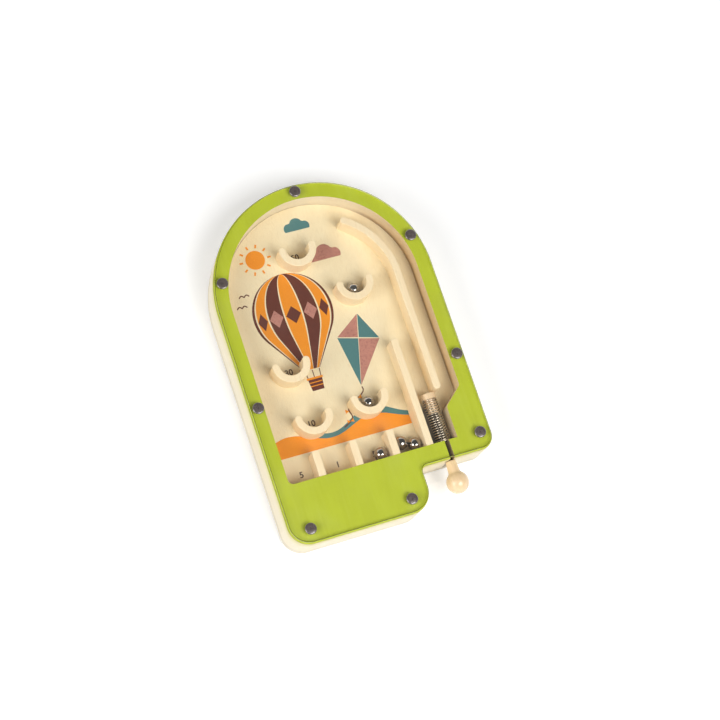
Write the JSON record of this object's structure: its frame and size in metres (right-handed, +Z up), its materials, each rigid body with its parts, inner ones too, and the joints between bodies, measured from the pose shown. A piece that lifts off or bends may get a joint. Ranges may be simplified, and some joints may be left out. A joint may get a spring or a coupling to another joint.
{
  "type": "tabletop pinball game",
  "caption": "Arched wooden tabletop pinball: a clear-covered playing field with catching cups, scoring bins, rails, steel balls and a sprung plunger in a lane.",
  "frame": {"origin": "middle of the case's footprint, on the table", "axes": "+Z up out of the playing face, +Y towards the arched head, so the plunger is pulled towards -Y"},
  "size_m": [0.17, 0.266, 0.041],
  "materials": {
    "case_wood": "pale bare wood, sanded",
    "frame_wood": "pale wood sides, top face painted leaf green",
    "printed_panel": "cream board with a matt print",
    "clear_cover": "clear acrylic sheet, bevelled edge",
    "dark_screws": "dark burnished steel",
    "rail_wood": "pale bare wood, sanded",
    "turned_wood": "turned wood, lightly waxed",
    "steel_rod": "drawn steel",
    "spring_steel": "drawn steel wire",
    "steel_ball": "polished steel"
  },
  "bodies": {
    "case": {"base_board": "case_wood", "frame": "frame_wood", "playfield_panel": "printed_panel", "cover": "clear_cover", "cover_screws": "dark_screws", "launch_rail": "rail_wood", "curved_rail": "rail_wood", "bin_divider_1": "rail_wood", "bin_divider_2": "rail_wood", "bin_divider_3": "rail_wood", "ball_cup_1": "rail_wood", "ball_cup_2": "rail_wood", "ball_cup_3": "rail_wood", "ball_cup_4": "rail_wood", "ball_cup_5": "rail_wood", "plunger_spring": "spring_steel"},
    "plunger": {"plunger_tip": "turned_wood", "plunger_rod": "steel_rod", "plunger_knob": "turned_wood"},
    "ball_1": {"ball_1": "steel_ball"},
    "ball_2": {"ball_2": "steel_ball"},
    "ball_3": {"ball_3": "steel_ball"},
    "ball_4": {"ball_4": "steel_ball"},
    "ball_5": {"ball_5": "steel_ball"}
  },
  "joints": [
    {"name": "plunger_slide", "type": "slide", "parent": "case", "child": "plunger", "axis": [0, -1, 0], "range_m": [0, 0.018], "stiffness_N_per_m": 120, "springref_m": -0.004, "deforming": ["plunger_spring"]},
    {"name": "ball_1_roll", "type": "slide", "parent": "case", "child": "ball_1", "axis": [0, 1, 0], "range_m": [0, 0.04]},
    {"name": "ball_2_roll", "type": "slide", "parent": "case", "child": "ball_2", "axis": [0, 1, 0], "range_m": [0, 0.04]},
    {"name": "ball_3_roll", "type": "slide", "parent": "case", "child": "ball_3", "axis": [0, 1, 0], "range_m": [0, 0.022]},
    {"name": "ball_4_roll", "type": "slide", "parent": "case", "child": "ball_4", "axis": [0, 1, 0], "range_m": [0, 0.022]},
    {"name": "ball_5_roll", "type": "slide", "parent": "case", "child": "ball_5", "axis": [0, 1, 0], "range_m": [0, 0.022]}
  ],
  "couplings": [
    {"joint": "ball_4_roll", "follows": "ball_5_roll", "ratio": 1}
  ]
}
